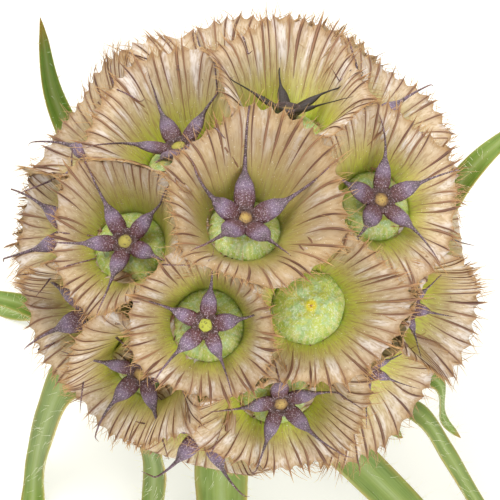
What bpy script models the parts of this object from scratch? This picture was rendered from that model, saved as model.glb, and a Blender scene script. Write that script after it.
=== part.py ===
# Starflower scabious seed head: a ball of papery funnel-shaped fruits with dark calyx stars, standing on
# the reflexed bracts below it and on the cut end of its stalk. Metres, +Z up, apex of the head upwards.
import math

import bmesh
import bpy
from mathutils import Vector

MM = 0.001

# The head is a ball round HEAD_CENTRE, and heights of the stalk and bracts are counted from that centre.
HEAD_HEIGHT = 26.0 * MM
HEAD_CENTRE = Vector((0.0, 0.0, HEAD_HEIGHT))
CORE_RADIUS = 9.55 * MM
CORE_FLAT = 9.0 * MM

# Distances from the ball's centre: to a fruit's root, and to the rim of its funnel and the teeth on it.
ROOT_DISTANCE = 5.0 * MM
UNDER_RIM_DISTANCE = 16.8 * MM
RIM_DISTANCE = 17.6 * MM
TOOTH_DISTANCE = 18.0 * MM

# Angles from the middle of the rim, in degrees. A tooth reaches furthest, and a neighbour may cut it back.
TOOTH_ANGLE = 23.0
VALLEY_STEP = 1.8
UNDER_RIM_STEP = 1.2
NEIGHBOUR_GAP = 0.5

# The fruit's own body sits deep in its funnel and leans its own way: distances out from its axis, and
# heights from the moat between the dome and the funnel's wall.
RIM_MIDDLE = 16.0 * MM
CUP_DEPTH = 5.0 * MM
TUBE_RING = (2.25 * MM, -1.4 * MM)
MOAT_RING = (2.65 * MM, 0.0)
SHOULDER_RING = (2.0 * MM, 0.75 * MM)
DOME_HEIGHT = 1.5 * MM
FULL_SPACING = 6.6 * MM
# The funnel's wall rises steeply from the moat and then spreads.
WALL_PLACE = 0.5
WALL_FLARE = 1.7

TEETH = 12
# The first tooth's bearing, which keeps the teeth's facets off the star's own edges.
FIRST_TOOTH = math.radians(3.7)
STAR_ARMS = 5

# Parts of a star: distance out from the body's axis and height from the moat, with half widths and depths.
STAR_CENTRE = 2.05 * MM
STAR_ROOT = 0.4 * MM
STAR_NOTCH = (0.62 * MM, 1.8 * MM)
STAR_LOBE = (1.6 * MM, 2.15 * MM, 0.66 * MM, 0.65 * MM)
STAR_NECK = (2.6 * MM, 2.6 * MM, 0.24 * MM, 0.42 * MM)
AWN_ANGLE = 20.5
AWN_MARGIN = 4.0
AWN_AIM = 17.4 * MM
AWN_SHARE = 0.8

# The fruits were placed by eye in one view of the head, looking down at it. For each, in degrees: where the
# middle of its rim lies, as the angle off the line of sight and the bearing in that view from the right
# towards the top, then where its body points, as the same two angles, and the turn of its star.
SIGHT_ELEVATION = math.radians(60.0)
SEEN_FRUITS = [
    (14, 94, 33, 86, -4), (46, 121, 55, 106, 0), (56, 77, 70, 85, 20), (45, 23, 24, 43, -5),
    (37, 172, 20, 128, 22), (23, 237, 6, 165, -10), (23, -39, 9, 20, 0), (63, 229, 33, 232, -7),
    (53, -78, 31, -73, 33), (78, 256, 45, 256, 36), (69, 202, 45, 200, 0), (77, 146, 62, 138, 14),
    (75, 173, 52, 166, 40), (72, -20, 50, -20, 8), (78, 6, 58, 9, 52), (72, -46, 52, -46, 26),
    (76, 47, 60, 50, 61), (80, 102, 76, 101, 5),
]
FAR_FRUITS = [
    (113, 75, 108, 75, 20), (127, 30, 122, 30, 47), (111, -13, 106, -12, 11), (119, 163, 115, 162, 66),
    (142, 113, 138, 112, 30), (107, -151, 98, -152, 54), (109, 130, 105, 130, 34),
]
STARLESS_FRUIT = 6

# Bracts: width, roll about its own midrib in degrees, and points along the midrib, each with the distance
# from the head's axis, the height from the head's centre and the plan bearing in degrees.
BRACT_THICKNESS = 0.72 * MM
BRACT_STATIONS = 13
TOE = -HEAD_HEIGHT / MM + 0.1
BRACTS = [
    (3.0, 0, [(4.95, -10.9, 130), (7.5, -13.2, 130), (10.8, -15.6, 130), (17.5, -13.6, 131), (23, -7, 131),
              (26.2, 0, 128)]),
    (2.6, 0, [(4.95, -10.9, 34), (7.5, -13.2, 34), (10.8, -15.4, 34), (16.2, -13.0, 33), (19.8, -7.4, 33),
              (23, -5, 33), (27, -3.2, 32)]),
    (2.6, 0, [(4.95, -10.9, 168), (7.5, -13.2, 169), (10.8, -15.4, 170), (15.0, -14.4, 171), (18.4, -12.4, 172),
              (22.2, -11.6, 172)]),
    (4.2, 0, [(3.95, -12.7, 190), (6.8, -14.5, 191), (10.4, -15.8, 190), (14.2, -15.6, 190), (16.4, -20, 195),
              (17.7, -24, 199), (19.2, TOE, 207), (22.2, TOE, 214)]),
    (2.5, 0, [(4.95, -10.9, 221), (7.5, -13.4, 222), (10.4, -16.0, 224), (10.9, -20, 228), (11.8, -24.2, 230),
              (14.2, TOE, 236), (17.6, TOE, 242)]),
    (4.2, 0, [(3.95, -12.7, 256), (6.8, -14.8, 256), (9.4, -17.0, 257), (10.4, -21, 258), (11.6, -24.6, 259),
              (14.1, TOE, 261), (17.5, TOE, 263)]),
    (3.3, 0, [(3.95, -12.7, 308), (6.8, -14.4, 308), (10.2, -15.6, 310), (13.0, -17.9, 314), (16.6, -22.2, 319),
              (19.4, -25.4, 321), (22.4, TOE, 321), (26.0, TOE, 319)]),
    (2.0, 25, [(3.95, -12.7, 342), (6.8, -14.8, 341), (10.4, -15.8, 338), (14.4, -14.9, 335), (17.0, -18.0, 333),
               (19.3, -21.8, 332), (21.8, -25.3, 331), (24.4, TOE, 329), (27.2, TOE, 327)]),
    (1.7, 0, [(4.95, -10.9, 354), (7.5, -13.2, 354), (10.8, -15.4, 353), (14.7, -15.5, 349), (15.6, -18.0, 343),
              (17.2, -20.0, 342)]),
    (1.7, 0, [(4.95, -10.9, 322), (7.5, -13.1, 323), (10.2, -15.0, 325), (12.4, -15.6, 328), (13.6, -17.2, 330)]),
    (3.0, 0, [(3.95, -12.7, 60), (6.8, -14.9, 60), (10.4, -17.0, 60), (14.6, -20.6, 60), (17.6, -24.6, 61),
              (20.4, TOE, 62), (23.6, TOE, 63)]),
    (3.2, 0, [(3.95, -12.7, 103), (6.8, -14.9, 103), (10.4, -17.0, 102), (14.2, -20.8, 101), (17.0, -24.7, 100),
              (19.8, TOE, 99), (23.2, TOE, 98)]),
    (2.8, 0, [(3.95, -12.7, 148), (6.8, -14.9, 148), (10.4, -17.0, 149), (14.8, -20.2, 150), (18.4, -24.4, 152),
              (21.2, TOE, 154), (24.4, TOE, 155)]),
]

# Outline of the receptacle and stalk, from the receptacle's top down to the cut end: radius and height.
STALK_OUTLINE = [
    (3.3, -9.35), (4.2, -9.8), (4.5, -10.8), (4.0, -11.9), (3.1, -12.9), (2.0, -14.2), (1.45, -15.6),
    (1.3, -18.0), (1.3, -26.0),
]
STALK_SIDES = 20


def clear_scene():
    for old in list(bpy.data.objects):
        bpy.data.objects.remove(old, do_unlink=True)


def make_material(name, colour, roughness):
    material = bpy.data.materials.new(name)
    material.use_nodes = True
    shader = material.node_tree.nodes["Principled BSDF"]
    shader.inputs["Base Color"].default_value = (*colour, 1.0)
    shader.inputs["Roughness"].default_value = roughness
    shader.inputs["Metallic"].default_value = 0.0
    material.diffuse_color = (*colour, 1.0)
    return material


def finish_mesh(bm, name, collection):
    bmesh.ops.triangulate(bm, faces=bm.faces)
    bmesh.ops.recalc_face_normals(bm, faces=bm.faces)
    if bm.calc_volume(signed=True) < 0.0:
        bmesh.ops.reverse_faces(bm, faces=bm.faces)
    mesh = bpy.data.meshes.new(name)
    bm.to_mesh(mesh)
    bm.free()
    obj = bpy.data.objects.new(name, mesh)
    collection.objects.link(obj)
    return obj


def bridge(bm, first, second):
    # Both rings have the same number of points.
    for start in range(len(first)):
        end = (start + 1) % len(first)
        bm.faces.new((first[start], first[end], second[end], second[start]))


def bridge_to_half(bm, full, half):
    # The second ring has half as many points as the first.
    for start in range(len(half)):
        end = (start + 1) % len(half)
        near, middle, far = full[2 * start], full[2 * start + 1], full[(2 * start + 2) % len(full)]
        bm.faces.new((near, middle, half[start]))
        bm.faces.new((middle, half[end], half[start]))
        bm.faces.new((middle, far, half[end]))


def bridge_blade(bm, near, far):
    # The two faces of a blade are split along matching diagonals, so that they keep their distance.
    half = len(near) // 2
    for start in range(len(near)):
        end = (start + 1) % len(near)
        if start < half:
            bm.faces.new((near[start], near[end], far[end]))
            bm.faces.new((near[start], far[end], far[start]))
        else:
            bm.faces.new((near[start], near[end], far[start]))
            bm.faces.new((near[end], far[end], far[start]))


def close_ring(bm, ring, tip):
    for start in range(len(ring)):
        bm.faces.new((ring[start], ring[(start + 1) % len(ring)], tip))


def view_axes(off_sight, bearing):
    # A direction, and two directions across it: away from the line of sight, and a quarter turn on.
    right = Vector((1.0, 0.0, 0.0))
    up = Vector((0.0, math.sin(SIGHT_ELEVATION), math.cos(SIGHT_ELEVATION)))
    toward = Vector((0.0, -math.cos(SIGHT_ELEVATION), math.sin(SIGHT_ELEVATION)))
    tilt = math.radians(off_sight)
    turn = math.radians(bearing)
    outward = right * math.cos(turn) + up * math.sin(turn)
    axis = outward * math.sin(tilt) + toward * math.cos(tilt)
    away = outward * math.cos(tilt) - toward * math.sin(tilt)
    side = up * math.cos(turn) - right * math.sin(turn)
    return axis, away, side


def fruit_frame(off_sight, bearing, lean_off_sight, lean_bearing):
    # The rim's directions, the body's directions, and the middle of the moat, from the ball's centre.
    rim = view_axes(off_sight, bearing)
    body_axis = view_axes(lean_off_sight, lean_bearing)[0]
    away = (rim[1] - body_axis * rim[1].dot(body_axis)).normalized()
    body = (body_axis, away, body_axis.cross(away))
    return {"rim": rim, "body": body, "place": rim[0] * RIM_MIDDLE - body_axis * CUP_DEPTH}


def girth_of(fruit, others):
    # Where another fruit's body is near, a body is slimmer.
    nearest = min((fruit["place"] - other["place"]).length for other in others)
    return min(1.0, nearest / FULL_SPACING)


def across(axes, bearing):
    return axes[1] * math.cos(bearing) + axes[2] * math.sin(bearing)


def cell_angle(fruit, others, bearing):
    # Angle from the rim's axis to the plane half way to its nearest neighbour in this bearing, in degrees.
    # The plane passes through the ball's centre: tan(angle) = tan(spacing / 2) / cos(bearing to neighbour).
    nearest = TOOTH_ANGLE
    for other in others:
        spacing = fruit["rim"][0].angle(other["rim"][0])
        closeness = across(fruit["rim"], bearing).dot(other["rim"][0]) / math.sin(spacing)
        if closeness > 0.01:
            limit = math.degrees(math.atan(math.tan(spacing / 2) / closeness))
            nearest = min(nearest, limit - NEIGHBOUR_GAP)
    return nearest


def rim_point(fruit, bearing, angle, distance):
    slant = math.radians(angle)
    return (fruit["rim"][0] * math.cos(slant) + across(fruit["rim"], bearing) * math.sin(slant)) * distance


def body_point(fruit, bearing, out, height):
    return fruit["place"] + fruit["body"][0] * height + across(fruit["body"], bearing) * out


def wall_point(fruit, moat, rim):
    # Part of the way from the moat to the rim, with the rise along the body's axis ahead of the spread.
    way = rim - moat
    rise = fruit["body"][0] * way.dot(fruit["body"][0])
    return moat + (way - rise) * WALL_PLACE + rise * (1.0 - (1.0 - WALL_PLACE) ** WALL_FLARE)


def add_funnel(name, fruit, others, collection):
    columns = 2 * TEETH
    bearings = [FIRST_TOOTH + 2 * math.pi * column / columns for column in range(columns)]
    limits = [cell_angle(fruit, others, bearing) for bearing in bearings]
    girth = girth_of(fruit, others)
    bm = bmesh.new()

    def ring_of(points):
        return [bm.verts.new(HEAD_CENTRE + point) for point in points]

    def body_ring(ring, step):
        return [body_point(fruit, bearing, ring[0] * girth, ring[1]) for bearing in bearings[::step]]

    rims = []
    unders = []
    for column, (bearing, limit) in enumerate(zip(bearings, limits)):
        valley = limit - VALLEY_STEP
        on_tooth = column % 2 == 0
        rims.append(rim_point(fruit, bearing, limit if on_tooth else valley,
                              TOOTH_DISTANCE if on_tooth else RIM_DISTANCE))
        unders.append(rim_point(fruit, bearing, valley + UNDER_RIM_STEP, UNDER_RIM_DISTANCE))
    moats = body_ring(MOAT_RING, 1)
    root = bm.verts.new(HEAD_CENTRE + fruit["place"].normalized() * ROOT_DISTANCE)
    tube = ring_of(body_ring(TUBE_RING, 2))
    under = ring_of(unders)
    rim = ring_of(rims)
    wall = ring_of([wall_point(fruit, moat, rim_end) for moat, rim_end in zip(moats, rims)])
    moat = ring_of(moats)
    shoulder = ring_of(body_ring(SHOULDER_RING, 2))
    dome = bm.verts.new(HEAD_CENTRE + body_point(fruit, 0.0, 0.0, DOME_HEIGHT))
    close_ring(bm, tube, root)
    bridge_to_half(bm, under, tube)
    bridge(bm, under, rim)
    bridge(bm, rim, wall)
    bridge(bm, wall, moat)
    bridge_to_half(bm, moat, shoulder)
    close_ring(bm, shoulder, dome)
    return finish_mesh(bm, name, collection)


def add_star(name, fruit, others, spin, collection):
    # Five lobes round a small middle, each drawn out into an awn that ends inside the fruit's own funnel.
    bm = bmesh.new()
    girth = girth_of(fruit, others)

    def point(bearing, out, height, aside=0.0):
        sideways = fruit["body"][0].cross(across(fruit["body"], bearing)) * aside
        return bm.verts.new(HEAD_CENTRE + body_point(fruit, bearing, out * girth, height) + sideways)

    def section(bearing, out, height, half, depth):
        return [point(bearing, out, height, -half), point(bearing, out, height - depth),
                point(bearing, out, height, half)]

    fifth = 2 * math.pi / STAR_ARMS
    centre = point(0.0, 0.0, STAR_CENTRE)
    root = point(0.0, 0.0, STAR_ROOT)
    notches = [point(spin + fifth * (arm - 0.5), *STAR_NOTCH) for arm in range(STAR_ARMS)]
    for arm in range(STAR_ARMS):
        bearing = spin + fifth * arm
        lobe = section(bearing, *STAR_LOBE)
        neck = section(bearing, *STAR_NECK)
        middle = body_point(fruit, bearing, 0.0, STAR_CENTRE)
        reach = min(AWN_ANGLE, cell_angle(fruit, others, bearing) - AWN_MARGIN)
        aim = rim_point(fruit, bearing, reach, AWN_AIM)
        tip = bm.verts.new(HEAD_CENTRE + middle.lerp(aim, AWN_SHARE))
        before, after = notches[arm], notches[(arm + 1) % STAR_ARMS]
        for face in ((centre, before, lobe[0]), (centre, lobe[0], lobe[2]), (centre, lobe[2], after),
                     (root, before, lobe[0]), (root, lobe[0], lobe[1]), (root, lobe[1], lobe[2]),
                     (root, lobe[2], after)):
            bm.faces.new(face)
        bridge(bm, lobe, neck)
        close_ring(bm, neck, tip)
    return finish_mesh(bm, name, collection)


def add_core(name, collection):
    bm = bmesh.new()
    bmesh.ops.create_icosphere(bm, subdivisions=3, radius=CORE_RADIUS)
    for vert in bm.verts:
        vert.co.z = max(vert.co.z, -CORE_FLAT)
        vert.co += HEAD_CENTRE
    return finish_mesh(bm, name, collection)


def fuse(obj, repeats):
    # The repeats are joined to the object by one union, and their own objects are then removed.
    union = obj.modifiers.new("union", "BOOLEAN")
    union.operation = "UNION"
    union.solver = "MANIFOLD"
    union.operand_type = "COLLECTION"
    union.collection = repeats
    graph = bpy.context.evaluated_depsgraph_get()
    fused = bpy.data.meshes.new_from_object(obj.evaluated_get(graph))
    obj.modifiers.clear()
    obj.data = fused
    for part in list(repeats.objects):
        bpy.data.objects.remove(part, do_unlink=True)
    bpy.data.collections.remove(repeats)


def build_seed_head(scene_collection, material):
    repeats = bpy.data.collections.new("fruits")
    scene_collection.children.link(repeats)
    places = SEEN_FRUITS + FAR_FRUITS
    fruits = [fruit_frame(*angles) for *angles, spin in places]
    for index, fruit in enumerate(fruits):
        others = fruits[:index] + fruits[index + 1:]
        add_funnel("funnel_%02d" % index, fruit, others, repeats)
        if index != STARLESS_FRUIT:
            add_star("star_%02d" % index, fruit, others, math.radians(places[index][-1]), repeats)
    head = add_core("seed_head", scene_collection)
    fuse(head, repeats)
    head.data.materials.clear()
    head.data.materials.append(material)
    return head


def polar_point(distance, height, bearing):
    turn = math.radians(bearing)
    return Vector((distance * MM * math.cos(turn), distance * MM * math.sin(turn), HEAD_HEIGHT + height * MM))


def spline_point(points, place):
    # A smooth curve through every point, by Catmull and Rom's rule, at a place from 0 to 1.
    last = len(points) - 1
    index = min(int(place * last), last - 1)
    t = place * last - index
    p1, p2 = points[index], points[index + 1]
    p0 = points[index - 1] if index > 0 else p1 * 2 - p2
    p3 = points[index + 2] if index + 2 <= last else p2 * 2 - p1
    return 0.5 * (2 * p1 + (p2 - p0) * t + (2 * p0 - 5 * p1 + 4 * p2 - p3) * t * t
                  + (3 * p1 - p0 - 3 * p2 + p3) * t * t * t)


def bract_half_width(width, place):
    # Narrow at the root, widest at a third of the length, then a long taper to the tip.
    widest = 0.34
    if place < widest:
        share = 0.5 + 0.5 * math.sin(place / widest * math.pi / 2)
    else:
        share = 1.0 - 0.84 * ((place - widest) / (1 - widest)) ** 2.0
    return width * MM / 2 * share


def build_bract(name, width, roll, waypoints, collection, material):
    points = [polar_point(*waypoint) for waypoint in waypoints]
    bm = bmesh.new()
    rings = []
    for station in range(BRACT_STATIONS):
        place = station / (BRACT_STATIONS - 1)
        middle = spline_point(points, place)
        ahead = spline_point(points, min(place + 0.02, 1.0)) - spline_point(points, max(place - 0.02, 0.0))
        ahead.normalize()
        side = Vector((-middle.y, middle.x, 0.0)).normalized()
        side = (side - ahead * side.dot(ahead)).normalized()
        face = ahead.cross(side)
        lean = math.radians(roll) * (1.0 - place)
        face, side = face * math.cos(lean) + side * math.sin(lean), side * math.cos(lean) - face * math.sin(lean)
        half = bract_half_width(width, place)
        fold = 0.22 * half * (1.0 - place)
        upper = []
        lower = []
        for share in (-1.0, 0.0, 1.0):
            centre = middle + side * half * share + face * fold * abs(share)
            below = centre - face * BRACT_THICKNESS / 2
            above = centre + face * BRACT_THICKNESS / 2
            below.z = max(below.z, 0.0)
            above.z = max(above.z, BRACT_THICKNESS) if below.z == 0.0 else above.z
            lower.append(bm.verts.new(below))
            upper.append(bm.verts.new(above))
        rings.append(upper + lower[::-1])
    for near, far in zip(rings, rings[1:]):
        bridge_blade(bm, near, far)
    for ring in (rings[0], rings[-1]):
        bm.faces.new((ring[0], ring[1], ring[4], ring[5]))
        bm.faces.new((ring[1], ring[2], ring[3], ring[4]))
    bract = finish_mesh(bm, name, collection)
    bract.data.materials.append(material)
    return bract


def build_peduncle(collection, material):
    bm = bmesh.new()
    rings = []
    for radius, height in STALK_OUTLINE:
        turns = [360.0 * step / STALK_SIDES for step in range(STALK_SIDES)]
        rings.append([bm.verts.new(polar_point(radius, height, turn)) for turn in turns])
    for near, far in zip(rings, rings[1:]):
        bridge(bm, near, far)
    bm.faces.new(rings[0])
    bm.faces.new(rings[-1])
    stalk = finish_mesh(bm, "peduncle", collection)
    stalk.data.materials.append(material)
    stalk.data.shade_smooth()
    stalk.data.set_sharp_from_angle(angle=math.radians(50))
    return stalk


def centre_on_box(objects):
    # The origin is the middle of the underside of the box round the whole object.
    corners = [obj.matrix_world @ vert.co for obj in objects for vert in obj.data.vertices]
    low = Vector([min(corner[axis] for corner in corners) for axis in range(3)])
    high = Vector([max(corner[axis] for corner in corners) for axis in range(3)])
    shift = Vector(((low.x + high.x) / 2, (low.y + high.y) / 2, low.z))
    for obj in objects:
        for vert in obj.data.vertices:
            vert.co -= shift


def main():
    clear_scene()
    collection = bpy.context.scene.collection
    paper = make_material("papery_corona", (0.58, 0.47, 0.36), 0.6)
    leaf = make_material("bract_leaf", (0.22, 0.33, 0.10), 0.55)
    stalk = make_material("stalk_green", (0.30, 0.38, 0.16), 0.6)
    objects = [build_seed_head(collection, paper), build_peduncle(collection, stalk)]
    for index, (width, roll, waypoints) in enumerate(BRACTS):
        objects.append(build_bract("bract_%02d" % (index + 1), width, roll, waypoints, collection, leaf))
    centre_on_box(objects)


main()
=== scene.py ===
import math

import bpy
import numpy as np
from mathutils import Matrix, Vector


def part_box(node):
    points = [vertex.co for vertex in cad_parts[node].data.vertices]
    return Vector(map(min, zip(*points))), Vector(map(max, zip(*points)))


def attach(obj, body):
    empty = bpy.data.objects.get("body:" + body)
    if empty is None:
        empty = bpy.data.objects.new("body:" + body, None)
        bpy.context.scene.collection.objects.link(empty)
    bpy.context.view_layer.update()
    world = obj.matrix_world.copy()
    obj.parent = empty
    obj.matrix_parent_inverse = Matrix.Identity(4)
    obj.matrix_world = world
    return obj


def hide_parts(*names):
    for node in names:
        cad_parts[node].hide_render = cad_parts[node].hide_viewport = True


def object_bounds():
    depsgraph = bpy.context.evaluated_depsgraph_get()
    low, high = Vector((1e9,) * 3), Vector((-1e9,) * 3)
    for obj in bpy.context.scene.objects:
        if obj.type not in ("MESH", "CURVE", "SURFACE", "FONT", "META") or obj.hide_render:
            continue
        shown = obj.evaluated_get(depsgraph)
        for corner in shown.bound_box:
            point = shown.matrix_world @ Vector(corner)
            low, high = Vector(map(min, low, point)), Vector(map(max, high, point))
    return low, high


# Starflower scabious seed head: papery veined funnels round dark five-armed stars, on hairy green bracts.
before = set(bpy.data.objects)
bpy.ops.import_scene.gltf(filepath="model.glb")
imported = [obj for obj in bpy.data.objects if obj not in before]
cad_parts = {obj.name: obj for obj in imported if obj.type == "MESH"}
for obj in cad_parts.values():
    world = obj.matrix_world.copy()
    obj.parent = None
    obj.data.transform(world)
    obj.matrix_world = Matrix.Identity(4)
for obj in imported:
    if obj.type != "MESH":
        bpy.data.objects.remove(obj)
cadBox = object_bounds()

mm = 0.001
stalkLow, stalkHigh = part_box("peduncle")
headHeight = 26.0  # mm, the middle of the ball above the surface it stands on
headCentre = np.array([(stalkLow[0] + stalkHigh[0]) / 2, (stalkLow[1] + stalkHigh[1]) / 2, headHeight * mm])
boxRoom = 0.12  # mm, left free inside the box of the solids
topReach = (cadBox[1][2] - headCentre[2]) / mm - boxRoom  # mm, how far above the middle anything may reach
frontReach = (headCentre[1] - cadBox[0][1]) / mm - boxRoom  # mm, the same for the side facing -Y

# The fruits' places are given in a view from 60 degrees above the surface.
sightElevation = math.radians(60.0)
viewRight = np.array([1.0, 0.0, 0.0])
viewUp = np.array([0.0, math.sin(sightElevation), math.cos(sightElevation)])
viewToward = np.array([0.0, -math.cos(sightElevation), math.sin(sightElevation)])

# For each fruit, in degrees: where the middle of its funnel's margin lies (angle off the line of sight and
# bearing from the right), where its body points (the same two angles), the turn of its star, and the half
# angle of its funnel. Last comes its place in the order of overlap, the highest lying on top.
fruitTable = np.array([
    (14, 94, 33, 86, -4, 26.0, 30), (46, 121, 55, 106, 0, 25.5, 24), (56, 77, 70, 85, 20, 24.5, 25),
    (45, 23, 24, 43, -5, 24.0, 23), (37, 172, 20, 128, 22, 21.8, 22), (23, 237, 6, 165, -10, 20.0, 28),
    (23, -39, 9, 20, 0, 25.0, 26), (63, 229, 33, 232, -7, 28.5, 20), (53, -78, 31, -73, 33, 22.5, 19),
    (78, 256, 45, 256, 36, 21.0, 13), (69, 202, 45, 200, 0, 26.5, 18), (77, 146, 62, 138, 14, 24.5, 17),
    (75, 173, 52, 166, 40, 23.0, 16), (72, -20, 50, -20, 8, 28.5, 15), (78, 6, 58, 9, 52, 23.0, 11),
    (72, -46, 52, -46, 26, 28.0, 12), (76, 47, 60, 50, 61, 23.0, 10), (80, 102, 76, 101, 5, 24.0, 9),
    (113, 75, 108, 75, 20, 22.5, 6), (127, 30, 122, 30, 47, 22.5, 5), (111, -13, 106, -12, 11, 22.5, 4),
    (119, 163, 115, 162, 66, 22.5, 3), (142, 113, 138, 112, 30, 22.5, 2), (107, -151, 98, -152, 54, 22.5, 1),
    (109, 130, 105, 130, 34, 23.0, 0),
], dtype=float)
starlessFruit = 6
fruitCount = len(fruitTable)


def fromView(offSight, bearing):
    # directions at an angle off the line of sight, with their slopes away from it and along the bearing
    off, turn = np.radians(offSight)[:, None], np.radians(bearing)[:, None]
    outward = np.cos(turn) * viewRight + np.sin(turn) * viewUp
    sideways = np.cos(turn) * viewUp - np.sin(turn) * viewRight
    direction = np.sin(off) * outward + np.cos(off) * viewToward
    return direction, np.cos(off) * outward - np.sin(off) * viewToward, sideways


def unit(vectors):
    return vectors / np.linalg.norm(vectors, axis=-1, keepdims=True)


rimAxis, rimAway, rimSide = fromView(fruitTable[:, 0], fruitTable[:, 1])
bodyAxis = fromView(fruitTable[:, 2], fruitTable[:, 3])[0]
bodyAway = unit(rimAway - (rimAway * bodyAxis).sum(1, keepdims=True) * bodyAxis)
bodySide = np.cross(bodyAxis, bodyAway)
spin, order = np.radians(fruitTable[:, 4]), fruitTable[:, 6]
spread = fruitTable[:, 5] - 1.0  # degrees; the teeth reach the rest of the way
# degrees from a fruit's middle to its margin over a lower neighbour, by both their numbers
marginCuts = {(0, 1): 19.5, (0, 5): 21.5, (0, 4): 19.5, (0, 6): 25.5, (0, 3): 24.5, (5, 4): 18.5,
              (5, 6): 19.5, (6, 3): 19.5, (2, 3): 22.5, (7, 9): 13.0, (8, 9): 15.5}
# degrees that the first fruit's margin reaches further towards the second
marginMore = {(7, 4): 5.0, (10, 5): 4.5, (8, 7): 5.5, (2, 0): 5.0, (3, 0): 5.0}
# mm: margins lie rimDistance from the ball's middle, and fruits cupDepth below the middle of their margins
rimDistance, cupDepth = 17.45, 5.0
rimHeight = rimDistance * np.cos(np.radians(spread))
bodyPlace = rimAxis * rimHeight[:, None] - bodyAxis * cupDepth  # the middle of the moat round each fruit
spacing = np.degrees(np.arccos(np.clip(rimAxis @ rimAxis.T, -1, 1)))  # degrees between fruits' axes


def smoothStep(x):
    # 0 below 0, 1 above 1, and 3x^2 - 2x^3 between
    x = np.clip(x, 0.0, 1.0)
    return x * x * (3 - 2 * x)


def softMin(a, b, blend):
    # the smaller of two arrays, rounded off where they meet: -k log(exp(-a/k) + exp(-b/k))
    low = np.minimum(a, b)
    return low - blend * np.log(np.exp(-(a - low) / blend) + np.exp(-(b - low) / blend))


def evenTurn(count):
    # even bearings round a full circle
    return np.arange(count) * 2 * np.pi / count


def ringWay(bearing, away, side):
    # directions round an axis: cos(b) away + sin(b) side
    return np.cos(bearing)[..., None] * away + np.sin(bearing)[..., None] * side


def ringSideways(bearing, away, side):
    # directions at a right angle to those, the way the bearing turns: cos(b) side - sin(b) away
    return np.cos(bearing)[..., None] * side - np.sin(bearing)[..., None] * away


def sectionAt(section, steps):
    # each column of a table, read in even steps between its first and last row
    table = np.array(section)
    place = np.linspace(0, len(table) - 1, steps)
    return [np.interp(place, np.arange(len(table)), column) for column in table.T]


# Meshes

def makePiece(name, points, faces, material, attributes=None, smooth=True):
    # points is N by 3; faces is a list of index arrays, one row for each face
    mesh = bpy.data.meshes.new(name)
    flat = np.concatenate([part.ravel() for part in faces]).astype(np.int32)
    sizes = np.concatenate([np.full(len(part), part.shape[1]) for part in faces]).astype(np.int32)
    starts = np.concatenate([[0], np.cumsum(sizes)[:-1]]).astype(np.int32)
    mesh.vertices.add(len(points))
    mesh.vertices.foreach_set("co", np.ascontiguousarray(points, np.float32).ravel())
    mesh.loops.add(len(flat))
    mesh.loops.foreach_set("vertex_index", flat)
    mesh.polygons.add(len(sizes))
    mesh.polygons.foreach_set("loop_start", starts)
    mesh.polygons.foreach_set("use_smooth", np.full(len(sizes), smooth))
    mesh.update(calc_edges=True)
    mesh.validate()
    for key, values in (attributes or {}).items():
        values = np.ascontiguousarray(values, np.float32)
        if values.ndim == 1:
            mesh.attributes.new(key, "FLOAT", "POINT").data.foreach_set("value", values)
        else:
            mesh.attributes.new(key, "FLOAT_VECTOR", "POINT").data.foreach_set("vector", values.ravel())
    mesh.materials.append(material)
    piece = bpy.data.objects.new(name, mesh)
    bpy.context.scene.collection.objects.link(piece)
    return piece


def ringFaces(rings, sides, closed=False):
    # quads between rings of points; the rings join up end to end when closed
    ring = np.arange(rings if closed else rings - 1)[:, None]
    side = np.arange(sides)[None, :]
    following, beside = (ring + 1) % rings, (side + 1) % sides
    quads = np.stack([ring * sides + side, ring * sides + beside,
                      following * sides + beside, following * sides + side], axis=-1)
    return quads.reshape(-1, 4)


def cappedRings(rings, sides, turned=False):
    # quads between rings and a flat cap on both ends, turned about for rings that run down instead of up
    cap = np.arange(sides)[None]
    faces = [ringFaces(rings, sides), cap[:, ::-1], (rings - 1) * sides + cap]
    return [part[:, ::-1] for part in faces] if turned else faces


def tubes(paths, across, halfWide, halfDeep, sides):
    # Many tubes at once: each path point p is ringed by p + a cos(t) u + b sin(t) v, with u across the path
    # and v = path direction x u. paths is T by K by 3, the half widths are T by K. Ends are closed flat.
    count, stations = paths.shape[:2]
    ahead = unit(np.gradient(paths, axis=1))
    sideways = unit(across - (across * ahead).sum(-1, keepdims=True) * ahead)
    upright = np.cross(ahead, sideways)
    turn = evenTurn(sides)
    points = (paths[:, :, None, :]
              + (halfWide[:, :, None] * np.cos(turn))[..., None] * sideways[:, :, None, :]
              + (halfDeep[:, :, None] * np.sin(turn))[..., None] * upright[:, :, None, :])
    starts = np.arange(count) * stations * sides
    quads = (ringFaces(stations, sides)[None] + starts[:, None, None]).reshape(-1, 4)
    firstCap = starts[:, None] + np.arange(sides)[::-1][None]
    lastCap = starts[:, None] + (stations - 1) * sides + np.arange(sides)[None]
    return points.reshape(-1, 3), [quads, firstCap, lastCap]


# Materials

def colour(red, green, blue):
    # a colour of 0 to 255 as a screen shows it, made linear
    values = np.array([red, green, blue]) / 255.0
    linear = np.where(values <= 0.04045, values / 12.92, ((values + 0.055) / 1.055) ** 2.4)
    return (*linear.tolist(), 1.0)


def addNode(tree, kind, **settings):
    node = tree.nodes.new(kind)
    for key, value in settings.items():
        setattr(node, key, value)
    return node


def plug(tree, node, socket, value):
    # a socket takes either another node's output or a plain value
    target = node.inputs[socket]
    if isinstance(value, bpy.types.NodeSocket):
        tree.links.new(value, target)
    else:
        target.default_value = value


def mathNode(tree, operation, first, second=0.5, clamp=False):
    node = addNode(tree, "ShaderNodeMath", operation=operation, use_clamp=clamp)
    plug(tree, node, 0, first)
    plug(tree, node, 1, second)
    return node.outputs[0]


def times(tree, first, second):
    return mathNode(tree, "MULTIPLY", first, second)


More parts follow.
